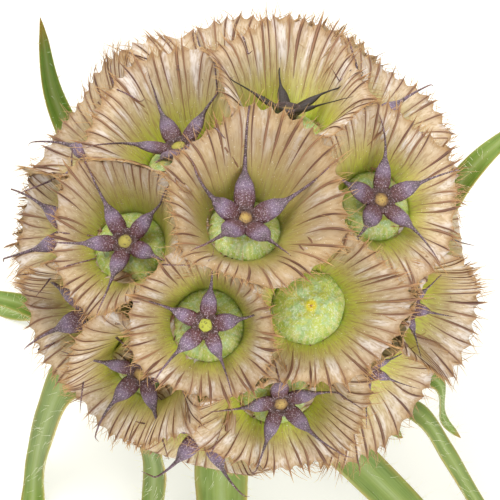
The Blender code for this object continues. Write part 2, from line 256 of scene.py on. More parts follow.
def mixColour(tree, share, first, second):
    node = addNode(tree, "ShaderNodeMix", data_type="RGBA")
    for socket, value in ((0, share), (6, first), (7, second)):
        plug(tree, node, socket, value)
    return node.outputs[2]


def remap(tree, value, low, high, first=0.0, last=1.0):
    node = addNode(tree, "ShaderNodeMapRange", interpolation_type="SMOOTHSTEP")
    for socket, number in enumerate((value, low, high, first, last)):
        plug(tree, node, socket, number)
    return node.outputs[0]


def colourRamp(tree, value, stops):
    # each stop is its place and its red, green and blue
    node = addNode(tree, "ShaderNodeValToRGB")
    plug(tree, node, 0, value)
    elements = node.color_ramp.elements
    while len(elements) < len(stops):
        elements.new(0.5)
    for element, (place, *shade) in zip(elements, stops):
        element.position = place
        element.color = colour(*shade)
    return node.outputs[0]


def readAttribute(tree, name, output="Fac"):
    return addNode(tree, "ShaderNodeAttribute", attribute_name=name).outputs[output]


def makeGroup(name, inputs, outputs):
    group = bpy.data.node_groups.new(name, "ShaderNodeTree")
    for label, kind, value in inputs:
        socket = group.interface.new_socket(name=label, in_out="INPUT", socket_type=kind)
        if value is not None:
            socket.default_value = value
    for label, kind in outputs:
        group.interface.new_socket(name=label, in_out="OUTPUT", socket_type=kind)
    return group, group.nodes.new("NodeGroupInput"), group.nodes.new("NodeGroupOutput")


def buildSpeckleGroup():
    # small bright specks: fine noise above a level
    group, start, end = makeGroup(
        "speckle", [("Vector", "NodeSocketVector", None), ("Scale", "NodeSocketFloat", 9000.0),
                    ("Level", "NodeSocketFloat", 0.62), ("Softness", "NodeSocketFloat", 0.06)],
        [("Mask", "NodeSocketFloat"), ("Grain", "NodeSocketFloat")])
    fine = addNode(group, "ShaderNodeTexNoise")
    plug(group, fine, "Vector", start.outputs["Vector"])
    plug(group, fine, "Scale", start.outputs["Scale"])
    plug(group, fine, "Detail", 1.0)
    above = mathNode(group, "SUBTRACT", fine.outputs["Fac"], start.outputs["Level"])
    mask = mathNode(group, "DIVIDE", above, start.outputs["Softness"], clamp=True)
    group.links.new(mask, end.inputs["Mask"])
    group.links.new(fine.outputs["Fac"], end.inputs["Grain"])
    return group


def buildPatchGroup():
    # broad soft patches of a second tone, from 0 to 1, with the noise itself as a height
    group, start, end = makeGroup(
        "patches", [("Vector", "NodeSocketVector", None), ("Scale", "NodeSocketFloat", 600.0),
                    ("Low", "NodeSocketFloat", 0.4), ("High", "NodeSocketFloat", 0.65)],
        [("Mask", "NodeSocketFloat"), ("Height", "NodeSocketFloat")])
    noise = addNode(group, "ShaderNodeTexNoise")
    plug(group, noise, "Vector", start.outputs["Vector"])
    plug(group, noise, "Scale", start.outputs["Scale"])
    plug(group, noise, "Detail", 3.0)
    mask = remap(group, noise.outputs["Fac"], start.outputs["Low"], start.outputs["High"])
    group.links.new(mask, end.inputs["Mask"])
    group.links.new(noise.outputs["Fac"], end.inputs["Height"])
    return group


speckleGroup, patchGroup = buildSpeckleGroup(), buildPatchGroup()


def useGroup(tree, group, **inputs):
    node = addNode(tree, "ShaderNodeGroup", node_tree=group)
    for label, value in inputs.items():
        plug(tree, node, label, value)
    return node.outputs


def speckled(tree, vector, scale, level, softness):
    return useGroup(tree, speckleGroup, Vector=vector, Scale=scale, Level=level, Softness=softness)


def patchy(tree, vector, scale, low, high):
    return useGroup(tree, patchGroup, Vector=vector, Scale=scale, Low=low, High=high)


def newMaterial(name, roughness):
    material = bpy.data.materials.new(name)
    material.use_nodes = True
    tree = material.node_tree
    shader = tree.nodes["Principled BSDF"]
    shader.inputs["Roughness"].default_value = roughness
    return material, tree, shader


def addGlow(shader, weight, radius, scale):
    # light let through a thin or waxy skin, further in red, green or blue by the three radii
    for socket, value in (("Weight", weight), ("Radius", radius), ("Scale", scale)):
        shader.inputs["Subsurface " + socket].default_value = value


def addBump(tree, shader, height, strength, distance):
    bump = addNode(tree, "ShaderNodeBump")
    bump.inputs["Strength"].default_value = strength
    bump.inputs["Distance"].default_value = distance
    plug(tree, bump, "Height", height)
    plug(tree, shader, "Normal", bump.outputs[0])


def objectPlace(tree):
    return addNode(tree, "ShaderNodeTexCoord").outputs["Object"]


def buildMembrane():
    # papery funnel: lime by the moat, olive, then tan and whitish towards a brown edge; darker by each vein
    material, tree, shader = newMaterial("papery_membrane", 0.55)
    along, across = readAttribute(tree, "along"), readAttribute(tree, "across")
    fibre, tone = readAttribute(tree, "fibre", "Vector"), readAttribute(tree, "tone")
    base = colourRamp(tree, along, [
        (0.0, 168, 200, 36), (0.12, 190, 198, 56), (0.26, 190, 182, 84), (0.42, 192, 174, 120),
        (0.62, 202, 181, 148), (0.82, 204, 180, 152), (0.93, 186, 150, 108), (1.0, 162, 116, 72)])
    streaks = patchy(tree, fibre, 1.1, 0.5, 0.66)
    whitish = times(tree, streaks["Mask"], remap(tree, along, 0.30, 0.60, 0.1, 0.9))
    shade = mixColour(tree, whitish, base, colour(234, 224, 216))
    fine = patchy(tree, fibre, 6.5, 0.42, 0.66)
    shade = mixColour(tree, times(tree, fine["Mask"], 0.6), shade, colour(158, 122, 80))
    nearVein = mathNode(tree, "POWER", mathNode(tree, "SUBTRACT", 1.0, across, clamp=True), 3.0)
    veinShade = times(tree, nearVein, remap(tree, along, 0.30, 0.75, 0.05, 0.75))
    shade = mixColour(tree, veinShade, shade, colour(142, 92, 62))
    # brown by fruit: partly the sheet's own tone, partly painted shade on the first fruit and painted light
    # on the second and third
    shade = mixColour(tree, times(tree, tone, 0.60), shade, colour(158, 128, 86))
    # painted highlights: small white glints scattered over the sheet, mixed into its colour
    specks = speckled(tree, objectPlace(tree), 9500.0, 0.72, 0.03)
    paintedGlint = times(tree, specks["Mask"], 0.6)
    plug(tree, shader, "Base Color", mixColour(tree, paintedGlint, shade, colour(250, 244, 236)))
    plug(tree, shader, "Alpha", remap(tree, along, 0.72, 1.0, 1.0, 0.80))
    addGlow(shader, 0.22, (1.0, 0.75, 0.45), 0.0012)
    addBump(tree, shader, fine["Height"], 0.5, 0.00006)
    return material


def buildVeinMaterial():
    # vein: straw inside the funnel, red-brown to dark on the limb, paler again at the hair-fine point
    material, tree, shader = newMaterial("vein", 0.5)
    along, tone = readAttribute(tree, "along"), readAttribute(tree, "tone")
    pale = colourRamp(tree, along, [
        (0.0, 176, 164, 92), (0.30, 172, 144, 98), (0.52, 160, 122, 90), (0.75, 146, 106, 76),
        (0.88, 178, 136, 88), (1.0, 212, 178, 122)])
    dark = colourRamp(tree, along, [
        (0.0, 162, 148, 80), (0.30, 138, 104, 70), (0.52, 110, 72, 56), (0.75, 92, 60, 46),
        (0.88, 140, 98, 60), (1.0, 190, 150, 96)])
    plug(tree, shader, "Base Color", mixColour(tree, tone, pale, dark))
    specks = speckled(tree, objectPlace(tree), 7000.0, 0.5, 0.2)
    addBump(tree, shader, specks["Grain"], 0.3, 0.00003)
    return material


def buildDomeMaterial():
    # pale green fruit top: bluish bloom in patches, yellow in the middle, darker green down the sides
    material, tree, shader = newMaterial("fruit_dome", 0.5)
    along = readAttribute(tree, "along")
    base = colourRamp(tree, along, [
        (0.0, 150, 150, 80), (0.34, 124, 158, 34), (0.44, 150, 176, 56), (0.56, 176, 190, 88),
        (0.80, 184, 188, 80), (0.86, 212, 200, 24), (0.94, 204, 182, 30), (0.97, 150, 92, 34),
        (1.0, 150, 92, 34)])
    patches = patchy(tree, objectPlace(tree), 1700.0, 0.42, 0.62)
    bloom = times(tree, patches["Mask"], remap(tree, along, 0.40, 0.6, 0.2, 0.8))
    bloom = times(tree, bloom, remap(tree, along, 0.86, 0.76, 0.0, 1.0))
    shade = mixColour(tree, bloom, base, colour(160, 192, 140))
    wax = patchy(tree, objectPlace(tree), 3800.0, 0.52, 0.68)
    waxed = times(tree, wax["Mask"], remap(tree, along, 0.86, 0.76, 0.0, 0.55))
    shade = mixColour(tree, waxed, shade, colour(208, 218, 190))
    streaks = patchy(tree, readAttribute(tree, "fibre", "Vector"), 2.2, 0.42, 0.62)
    pale = times(tree, streaks["Mask"], remap(tree, along, 0.66, 0.5, 0.0, 0.6))
    shade = mixColour(tree, pale, shade, colour(214, 210, 150))
    specks = speckled(tree, objectPlace(tree), 9000.0, 0.62, 0.05)
    shade = mixColour(tree, times(tree, specks["Mask"], 0.5), shade, colour(236, 240, 222))
    plug(tree, shader, "Base Color", shade)
    addGlow(shader, 0.2, (0.5, 1.0, 0.3), 0.0008)
    addBump(tree, shader, wax["Height"], 0.8, 0.00014)
    return material


def buildCalyxMaterial():
    # star: purple-brown husk dusted lavender and white; grey-lavender necks, dark awns, rusty tips
    material, tree, shader = newMaterial("calyx_star", 0.48)
    along, tone = readAttribute(tree, "along"), readAttribute(tree, "tone")
    base = colourRamp(tree, along, [
        (0.0, 188, 160, 88), (0.045, 138, 106, 60), (0.08, 66, 40, 36), (0.20, 92, 50, 48),
        (0.32, 96, 58, 62), (0.43, 128, 110, 136), (0.56, 90, 76, 84), (0.76, 74, 54, 48),
        (1.0, 128, 80, 54)])
    base = mixColour(tree, readAttribute(tree, "green"), base, colour(176, 184, 62))
    place = objectPlace(tree)
    patches = patchy(tree, place, 4200.0, 0.44, 0.62)
    lavender = times(tree, patches["Mask"], remap(tree, along, 0.12, 0.40, 0.0, 0.5))
    shade = mixColour(tree, lavender, base, colour(136, 108, 136))
    coarse = speckled(tree, place, 6500.0, 0.60, 0.06)
    shade = mixColour(tree, times(tree, coarse["Mask"], 0.55), shade, colour(56, 34, 40))
    specks = speckled(tree, place, 11000.0, 0.60, 0.04)
    dust = times(tree, specks["Mask"], remap(tree, along, 0.06, 0.12, 0.0, 0.6))
    shade = mixColour(tree, dust, shade, colour(206, 190, 202))
    shade = mixColour(tree, tone, shade, colour(40, 32, 24))
    plug(tree, shader, "Base Color", shade)
    addBump(tree, shader, specks["Grain"], 0.8, 0.00008)
    return material


def buildLeafMaterial():
    # bract: pale midrib band, green sides, olive-yellow margins, browned tip, fine lengthwise veins
    material, tree, shader = newMaterial("bract_leaf", 0.5)
    across, along = readAttribute(tree, "across"), readAttribute(tree, "along")
    base = colourRamp(tree, across, [
        (0.0, 146, 162, 104), (0.20, 128, 146, 68), (0.42, 102, 124, 40), (0.70, 92, 112, 30),
        (0.86, 116, 116, 34), (0.95, 150, 134, 60), (1.0, 184, 164, 104)])
    patches = patchy(tree, objectPlace(tree), 500.0, 0.38, 0.66)
    shade = mixColour(tree, times(tree, patches["Mask"], 0.4), base, colour(128, 144, 62))
    ribs = addNode(tree, "ShaderNodeTexNoise")
    plug(tree, ribs, "Vector", readAttribute(tree, "fibre", "Vector"))
    plug(tree, ribs, "Scale", 7.0)
    streak = remap(tree, ribs.outputs["Fac"], 0.4, 0.65, 0.0, 0.3)
    shade = mixColour(tree, streak, shade, colour(142, 160, 96))
    tip = remap(tree, along, 0.9, 1.0, 0.0, 0.85)
    shade = mixColour(tree, tip, shade, colour(170, 118, 56))
    plug(tree, shader, "Base Color", shade)
    addGlow(shader, 0.15, (0.4, 1.0, 0.2), 0.0008)
    addBump(tree, shader, ribs.outputs["Fac"], 0.5, 0.00008)
    return material


def buildPlainMaterial(name, first, second, scale, roughness):
    # two tones in patches, with a bump of the same noise
    material, tree, shader = newMaterial(name, roughness)
    patches = patchy(tree, objectPlace(tree), scale, 0.35, 0.65)
    plug(tree, shader, "Base Color", mixColour(tree, patches["Mask"], first, second))
    addBump(tree, shader, patches["Height"], 0.5, 0.0001)
    return material


materials = {
    "membrane": buildMembrane(), "vein": buildVeinMaterial(), "dome": buildDomeMaterial(),
    "calyx": buildCalyxMaterial(), "leaf": buildLeafMaterial(),
    "core": buildPlainMaterial("pithy_core", colour(120, 110, 56), colour(84, 92, 40), 700.0, 0.8),
    "hair": buildPlainMaterial("hair", colour(236, 236, 214), colour(214, 220, 190), 900.0, 0.4),
    "stalk": buildPlainMaterial("stalk_skin", colour(134, 156, 84), colour(164, 178, 112), 400.0, 0.6),
}
print("materials made")


# Funnels

funnelLook = {
    "veins": 38, "columnsPerVein": 5, "rows": 20, "veinStations": 14, "hairsPerVein": 5, "coverColumns": 240,
    # mm: the ring round the fruit's foot, the sheet, the gap under a neighbour, veins, hairs, teeth and wall
    "rootOut": 2.6, "rootHeight": 0.6, "thickness": 0.06, "overlapGap": 0.10,
    "veinWide": 0.095, "veinDeep": 0.045, "hairWide": 0.022,
    "toothShort": 0.7, "toothLong": 1.9, "wallLong": 6.0,
    # the wall's bend and where it ends, then mm of curl, pleats and waves, and the margin's ripple as a part
    "flare": 1.42, "straightBeyond": 0.9, "curl": 0.12, "pleat": 0.09, "wave": 0.26, "edgeWave": 0.06,
    # where a margin ends between two fruits: share of the way, then in degrees the room for the teeth, how
    # far a lower sheet goes on under the upper one, the least half angle, and how the cuts are rounded
    "share": 0.56, "toothRoom": 1.3, "tuckedUnder": 6.2, "leastSpread": 12.5, "cutBlend": 0.8,
    # a sheet is pressed in no deeper than mm from the ball's middle, and springs back mm over degrees
    "deepest": 10.0, "springBack": 3.5, "springOver": 6.0,
    # how unevenly veins are set, as a share of their spacing, and in radians how far they wander
    "jitter": 0.22, "sway": 0.036,
    # along the wall, 1 at the margin: how ragged it is, where veins start, and where hairs start and end
    "ragged": (-0.035, 0.02), "veinStart": (0.16, 0.46), "hairStart": (0.84, 1.0), "hairEnd": (1.05, 1.34),
    # how thick a vein is at six places along it, and a hair at its five rings
    "veinSwell": ((0, 0.15, 0.45, 0.75, 0.88, 1.0), (0.12, 0.5, 1.0, 0.95, 0.42, 0.05)),
    "hairSwell": (0.4, 1.1, 1.0, 0.7, 0.2),
    # by fruit, how brown the sheet is, with painted shade darkening the first and painted light paling the
    # second and third; the others take a value within brownRange
    "brownAndPaintedShade": {0: 0.95, 1: 0.1, 2: 0.0, 3: 0.35, 4: 0.6, 5: 0.5, 6: 0.35, 8: 0.05, 17: 0.0},
    "brownRange": (0.05, 0.4),
}
marginNeighbour, sheetNeighbour = 50, 56  # degrees between fruits whose margins, or whose sheets, can meet
furthest = {"sheet": 18.35, "star": 18.5, "veins": 18.9, "fringe": 19.2}  # mm from the ball's middle
covers = {}  # finished funnels that lower ones pass under: angle off the axis and distance by bearing


def waveOf(index, bearing, salt):
    # three slow ripples round the funnel, with random phases p: the sum of cos(n b + p) / d
    phases = np.random.default_rng(1000 + 10 * index + salt).uniform(0, 2 * np.pi, 3)
    return sum(np.cos(n * bearing + p) / d for n, p, d in zip((2, 3, 5), phases, (1.0, 1.3, 2.0)))


def bearingOf(index, points):
    return np.arctan2(points @ rimSide[index], points @ rimAway[index])


def facing(index, other, bearing, least):
    # the cosine of the turn from a bearing to another fruit, from least up to 1
    return np.clip(np.cos(bearing - bearingOf(index, rimAxis[other])), least, 1.0)


def edgeAngleAt(index, bearing):
    # the funnel's own half angle, rippled, and cut back smoothly before the neighbours' tubes and stars
    look = funnelLook
    edge = spread[index] * (1 + look["edgeWave"] * waveOf(index, bearing, 1))
    for other in np.flatnonzero((spacing[index] < marginNeighbour) & (np.arange(fruitCount) != index)):
        between, under = spacing[index, other], order[other] > order[index]
        pair = (other, index) if under else (index, other)
        cut = marginCuts.get(pair, between * look["share"]) - look["toothRoom"]
        if under:
            cut = between - cut + look["tuckedUnder"]
        edge = softMin(edge, cut / facing(index, other, bearing, 0.2), look["cutBlend"])
    for (reaching, towards), more in marginMore.items():
        if reaching == index:
            edge = edge + more * facing(index, towards, bearing, 0.0) ** 3
    return np.maximum(edge, look["leastSpread"])


def coverDistance(other, points):
    # how far out the other fruit's finished funnel lies over these points, and their angle from its axis
    distance = np.linalg.norm(points, axis=-1)
    angle = np.degrees(np.arccos(np.clip((points @ rimAxis[other]) / distance, -1, 1)))
    angles, distances = covers[other]
    columns = angles.shape[1]
    column = np.rint(bearingOf(other, points) / (2 * np.pi) * columns).astype(int) % columns
    above, far = angles[:, column], distances[:, column]
    row = np.clip((above < angle).sum(axis=0), 1, len(angles) - 1)
    low = np.take_along_axis(above, row[None] - 1, 0)[0]
    high = np.take_along_axis(above, row[None], 0)[0]
    share = np.clip((angle - low) / np.maximum(high - low, 1e-6), 0, 1)
    near = np.take_along_axis(far, row[None] - 1, 0)[0]
    cover = near + (np.take_along_axis(far, row[None], 0)[0] - near) * share
    return cover, angle - above[-1], distance


def pressUnder(index, points):
    # A funnel lower in the order is bent in to pass under its neighbours: its distance from the centre is
    # the rounded minimum of its own and the neighbour's less a gap. Past their margin it springs back.
    look = funnelLook
    for other in np.flatnonzero((spacing[index] < sheetNeighbour) & (order > order[index])):
        cover, past, distance = coverDistance(other, points)
        limit = cover - look["overlapGap"] + look["springBack"] * smoothStep(past / look["springOver"])
        nearer = softMin(distance, np.maximum(limit, look["deepest"]), 0.06)
        points = points * (nearer / distance)[..., None]
    return points


def raiseOver(index, points, clearance):
    # an awn is lifted over any finished funnel that it crosses, and comes down within 2 degrees past it
    for other in np.flatnonzero(spacing[index] < sheetNeighbour):
        cover, past, distance = coverDistance(other, points)
        floor = (cover + clearance) * (1 - smoothStep(past / 2.0))
        points = points * (-softMin(-distance, -floor, 0.1) / distance)[..., None]
    return points


def holdInside(points, reach):
    # nothing stands further from the centre than reach, nor beyond the box of the solids above and in front
    distance = np.linalg.norm(points, axis=-1)
    points = points * (softMin(distance, np.full(distance.shape, reach), 0.08) / distance)[..., None]
    points[..., 2] = softMin(points[..., 2], np.full(distance.shape, topReach), 0.04)
    points[..., 1] = -softMin(-points[..., 1], np.full(distance.shape, frontReach), 0.04)
    return points


def toWorld(points):
    return headCentre + points * mm


def funnelPoints(index, along, bearing, ripple):
    # Points of one funnel, in mm from the ball's centre, from a ring round the fruit's foot to the margin.
    # The way between is split: its part across the body grows evenly, and its part along the body grows as
    # 1 - (1 - along)^flare, so the wall rises steeply and then spreads. It goes on straight at the end, for
    # the margin and its teeth. Slow waves and pleats are added.
    look = funnelLook
    edge = np.radians(edgeAngleAt(index, bearing))[..., None]
    towards = ringWay(bearing, rimAway[index], rimSide[index])
    rim = rimDistance * (np.cos(edge) * rimAxis[index] + np.sin(edge) * towards)
    inner = ringWay(bearing, bodyAway[index], bodySide[index])
    root = bodyPlace[index] + inner * look["rootOut"] + bodyAxis[index] * look["rootHeight"]
    way = rim - root
    lengthwise = (way @ bodyAxis[index])[..., None] * bodyAxis[index]
    s = along[..., None]
    bent, flare = np.minimum(s, look["straightBeyond"]), look["flare"]
    rise = 1 - (1 - bent) ** flare + flare * (1 - bent) ** (flare - 1) * (s - bent)
    grow = np.clip(s, 0, 1.1)
    height = (look["wave"] * waveOf(index, bearing, 2)[..., None] * grow ** 2
              + look["pleat"] * (ripple[..., None] - 0.5) * 2 * grow ** 0.8
              - look["curl"] * np.clip((s - 0.82) / 0.3, 0, 2) ** 2)
    return root + (way - lengthwise) * s + lengthwise * rise + rimAxis[index] * height


def veinBearings(index):
    veins, jitter = funnelLook["veins"], funnelLook["jitter"]
    uneven = np.random.default_rng(300 + index).uniform(-jitter, jitter, veins)
    return (np.arange(veins) + uneven) * 2 * np.pi / veins


def bearingAt(index, phase):
    # the bearing of a place counted in veins round the funnel
    veins, knots = funnelLook["veins"], veinBearings(index)
    return np.interp(phase % veins, np.arange(veins + 1), np.append(knots, knots[0] + 2 * np.pi))


def veinSway(index, along, phase):
    # veins wander a little sideways towards the margin, each its own way, and the sheet's columns with them
    veins = funnelLook["veins"]
    sway = np.random.default_rng(350 + index).normal(0, funnelLook["sway"], (2, veins))
    sway = np.concatenate([sway, sway[:, :1]], axis=1)
    bend, turnBack = [np.interp(phase % veins, np.arange(veins + 1), values) for values in sway]
    outwards = bend * np.clip(along - 0.35, 0, 1) * 1.6
    return outwards + turnBack * np.sin(np.clip(along - 0.3, 0, 1) * 5) * 0.35


def fibrePlace(bearing, height, radius):
    # a place on a wide cylinder for each point, so that the noise read there runs in lengthwise streaks
    return np.stack([np.cos(bearing) * radius, np.sin(bearing) * radius, height], axis=-1)


def rememberCover(index, lower):
    # the finished sheet's underside, resampled to even bearings round its axis
    distance = np.linalg.norm(lower, axis=-1)
    angle = np.degrees(np.arccos(np.clip((lower @ rimAxis[index]) / distance, -1, 1)))
    outer = bearingOf(index, lower[-1])
    sort = np.argsort(outer)
    apart = outer[sort][None, :] - evenTurn(funnelLook["coverColumns"])[:, None]
    nearest = np.abs((apart + np.pi) % (2 * np.pi) - np.pi).argmin(axis=1)
    angle, distance = angle[:, sort][:, nearest], distance[:, sort][:, nearest]
    covers[index] = (np.maximum.accumulate(angle, axis=0), distance)


def buildFunnel(index):
    # a closed thin sheet: rows run out along the upper face and back along the lower, so both edges are shut
    veins, parts, rows = funnelLook["veins"], funnelLook["columnsPerVein"], funnelLook["rows"]
    phase = np.arange(veins * parts) / parts
    bearing = bearingAt(index, phase)
    across = np.abs((phase + 0.5) % 1 - 0.5) * 2  # 0 on a vein, 1 midway between two
    ragged = np.repeat(np.random.default_rng(600 + index).uniform(*funnelLook["ragged"], veins), parts)
    tongue = 1 + 0.05 * (1 - across) ** 2 - 0.03 * across + ragged * np.sin(np.pi * phase) ** 2
    along = np.linspace(0, 1, rows)[:, None] ** 0.92 * tongue[None, :]
    bearings = bearing[None, :] + veinSway(index, along, phase[None, :])
    ripple = np.broadcast_to(1 - across ** 1.5, along.shape)
    upper = holdInside(pressUnder(index, funnelPoints(index, along, bearings, ripple)), furthest["sheet"])
    turnAlong = np.roll(upper, -1, axis=1) - np.roll(upper, 1, axis=1)
    normal = unit(np.cross(np.gradient(upper, axis=0), turnAlong))
    inward = -1 if (normal * rimAxis[index]).sum(-1).mean() > 0 else 1
    lower = upper + normal * funnelLook["thickness"] * inward
    rememberCover(index, lower)
    points = np.concatenate([upper, lower[::-1]])
    allAlong = np.concatenate([along, along[::-1]])
    fibre = fibrePlace(np.broadcast_to(bearing, allAlong.shape), allAlong * 1.3 + 7.0 * index, 6)
    # the sheet's brown: a random tone, but painted shade for the first fruit and painted light for the
    # second and third
    tone = np.random.default_rng(500 + index).uniform(*funnelLook["brownRange"])
    tone = funnelLook["brownAndPaintedShade"].get(index, tone)
    return makePiece("corona_%02d" % (index + 1), toWorld(points.reshape(-1, 3)),
                     [ringFaces(2 * rows, veins * parts, closed=True)], materials["membrane"],
                     {"along": allAlong.ravel() * 0.96,
                      "across": np.broadcast_to(across, allAlong.shape).ravel(),
                      "fibre": fibre.reshape(-1, 3), "tone": np.full(allAlong.size, tone)})


def layOnFunnel(name, index, points, bearing, wide, deep, sides, along, tone):
    # tubes that lie along a funnel's sheet, with the values that colour them
    shape, faces = tubes(points, ringSideways(bearing, rimAway[index], rimSide[index]), wide, deep, sides)
    attributes = {"along": np.repeat(along, sides, axis=1).ravel(),
                  "tone": np.repeat(tone, points.shape[1] * sides)}
    return makePiece("%s_%02d" % (name, index + 1), toWorld(shape), faces, materials["vein"], attributes)


def buildVeins(index):
    # each vein is a tapered four-sided tube on the funnel's ridge, carried past the margin as a sharp tooth
    look, random = funnelLook, np.random.default_rng(700 + index)
    veins, place = look["veins"], np.linspace(0, 1, look["veinStations"])
    reach = 1.0 + random.uniform(look["toothShort"], look["toothLong"], veins)[:, None] / look["wallLong"]
    start = random.uniform(*look["veinStart"], veins)[:, None]
    along = start + (reach - start) * place[None, :]
    bearing = veinBearings(index)[:, None] + veinSway(index, along, np.arange(veins)[:, None])
    lift = random.normal(0.05, 0.2, veins)[:, None] * np.clip(along - 0.97, 0, 1) * 3
    points = pressUnder(index, funnelPoints(index, along, bearing, np.ones_like(along)))
    points = holdInside(points + unit(points) * (0.02 + lift)[..., None], furthest["veins"])
    swell = np.interp(place, *look["veinSwell"])
    knots = random.uniform(0.75, 1.2, (veins, 6))
    knots = np.stack([np.interp(place * 5, np.arange(6), row) for row in knots])
    swell = swell * (random.uniform(0.45, 1.25, veins)[:, None] * knots)
    tone = np.clip(random.normal(0.6, 0.3, veins), 0, 1)
    return layOnFunnel("veins", index, points, bearing, look["veinWide"] * swell,
                       look["veinDeep"] * swell, 4, along / reach, tone)


def buildFringe(index):
    # fine hairs between the veins, lying on the outer part of the membrane and ending beyond its margin
    look, random = funnelLook, np.random.default_rng(1700 + index)
    count = look["veins"] * look["hairsPerVein"]
    phase = (np.arange(count) + random.uniform(-0.4, 0.4, count)) / look["hairsPerVein"]
    first, last = random.uniform(*look["hairStart"], count), random.uniform(*look["hairEnd"], count)
    along = first[:, None] + (last - first)[:, None] * np.linspace(0, 1, len(look["hairSwell"]))[None, :]
    bearing = bearingAt(index, phase)[:, None] + veinSway(index, along, phase[:, None])
    bearing = bearing + random.normal(0, 0.3, count)[:, None] * np.clip(along - 0.92, 0, 1)
    points = pressUnder(index, funnelPoints(index, along, bearing, np.full(along.shape, 0.7)))
    lift = random.uniform(0.02, 0.06, count)[:, None]
    lift = lift + random.normal(0.2, 0.9, count)[:, None] * np.clip(along - 0.98, 0, 1)
    points = holdInside(points + unit(points) * lift[..., None], furthest["fringe"])
    swell = look["hairWide"] * np.array(look["hairSwell"])[None, :]
    swell = swell * random.uniform(0.7, 1.3, count)[:, None]
    return layOnFunnel("fringe", index, points, bearing, swell, swell, 3, 0.86 + 0.14 * (along - 0.84) / 0.5,
                       random.uniform(0, 0.4, count))


# Fruit bodies and stars

domeLook = {
    "columns": 56, "rings": 32, "lobes": 8, "lobeDepth": 0.014, "bumps": 0.018,
    # the bare dome's height, radius and lower edge, its bumps, and how it is stretched away and sideways
    "bareTall": 2.3, "bareRadius": 2.86, "bareFrom": 0.15, "bareBumps": 0.035, "bareStretch": (0.98, 1.06),
    # distance out and height from the moat, from the root in the core up to the middle of the top
    "section": [(1.2, -4.3), (1.5, -3.3), (1.9, -2.1), (2.4, -1.0), (2.78, -0.3), (2.82, 0.15), (2.7, 0.6),
                (2.4, 1.0), (1.9, 1.32), (1.38, 1.5), (0.9, 1.54), (0.55, 1.5), (0.3, 1.56),
                (0.12, 1.6), (0.004, 1.6)],
}


def buildDome(index):
    # the fruit's ribbed body and top, turned round its axis: out = r(t) (1 + d cos(n b)), with small bumps
    look, bare = domeLook, index == starlessFruit
    out, height = sectionAt(look["section"], look["rings"])
    bearing = evenTurn(look["columns"])
    lobes = np.cos(look["lobes"] * bearing)[None, :] * smoothStep((out[:, None] - 0.5) / 1.5)
    bumps = np.random.default_rng(900 + index).normal(0, look["bareBumps" if bare else "bumps"],
                                                      (len(out), len(bearing)))
    for shift in (1, 2):
        bumps = bumps + (np.roll(bumps, shift, 1) + np.roll(bumps, -shift, 1)) / shift
    bumps[1:-1] = (bumps[:-2] + bumps[1:-1] + bumps[2:]) / 2
    bumps = bumps * smoothStep((out[:, None] - 0.2) / 0.8)
    bumps[0] = 0
    if bare:  # a half ball instead: height = tall sqrt(1 - (r / radius)^2)
        ball = 0.1 + look["bareTall"] * np.sqrt(np.maximum(1 - (out / look["bareRadius"]) ** 2, 0))
        height = np.where(height > look["bareFrom"], ball, height)
    awayStretch, sideStretch = look["bareStretch"] if bare else (1.0, 1.0)
    towards = ringWay(bearing, bodyAway[index] * awayStretch, bodySide[index] * sideStretch)
    radius = out[:, None] * (1 + look["lobeDepth"] * lobes)
    points = (bodyPlace[index] + bodyAxis[index] * (height[:, None] + bumps)[..., None]
              + towards * radius[..., None])
    along = np.repeat(np.linspace(0, 1, len(out)), len(bearing))
    fibre = fibrePlace(np.tile(bearing, len(out)), along * 3 + 5.0 * index, 5)
    return makePiece("fruit_%02d" % (index + 1), toWorld(points.reshape(-1, 3)),
                     cappedRings(len(out), len(bearing)), materials["dome"],
                     {"along": along, "fibre": fibre})


starLook = {
    "arms": 5, "stations": 34, "sides": 10,
    # along an arm: distance out, height over the moat, half width and half depth
    "section": [(0.58, 2.14, 0.55, 0.26), (0.9, 2.26, 0.74, 0.34), (1.3, 2.46, 0.86, 0.38),
                (1.75, 2.68, 0.82, 0.40), (2.2, 2.92, 0.70, 0.36), (2.6, 3.14, 0.44, 0.26),
                (2.95, 3.34, 0.20, 0.16), (3.8, 3.76, 0.11, 0.10), (4.8, 4.20, 0.085, 0.075),
                (5.7, 4.62, 0.065, 0.055), (6.6, 5.0, 0.012, 0.012)],
    # mm: the height that the star is sized about, where its awns begin, and their room over a funnel
    "seat": 2.3, "awnFrom": 2.6, "clearance": 0.12,
    # how arms differ: their length and thickness as parts, awns' rise in mm, and turns in radians
    "lengthen": (0.86, 1.06), "plump": (0.9, 1.1), "awnRise": 0.35, "awnTurn": 0.14, "armTurn": 0.05,
    # by fruit: the star's size, its slimness, how dark it is, how green its eye, and its arms' lengths
    "size": {0: 1.08, 5: 0.90, 2: 0.88, 4: 0.97, 7: 0.92, 8: 0.94, 13: 0.6, 14: 0.6, 15: 0.62},
    "slim": {2: 0.62, 1: 0.9, 5: 0.82, 7: 0.85, 8: 0.85, 4: 0.85, 3: 0.85}, "slimElse": 0.92,
    "dark": {2: 0.95, 1: 0.2}, "greenEye": {5: 0.9, 1: 0.5, 4: 0.4},
    "armLength": {0: (1.06, 0.80, 0.84, 0.98, 0.98)},
}


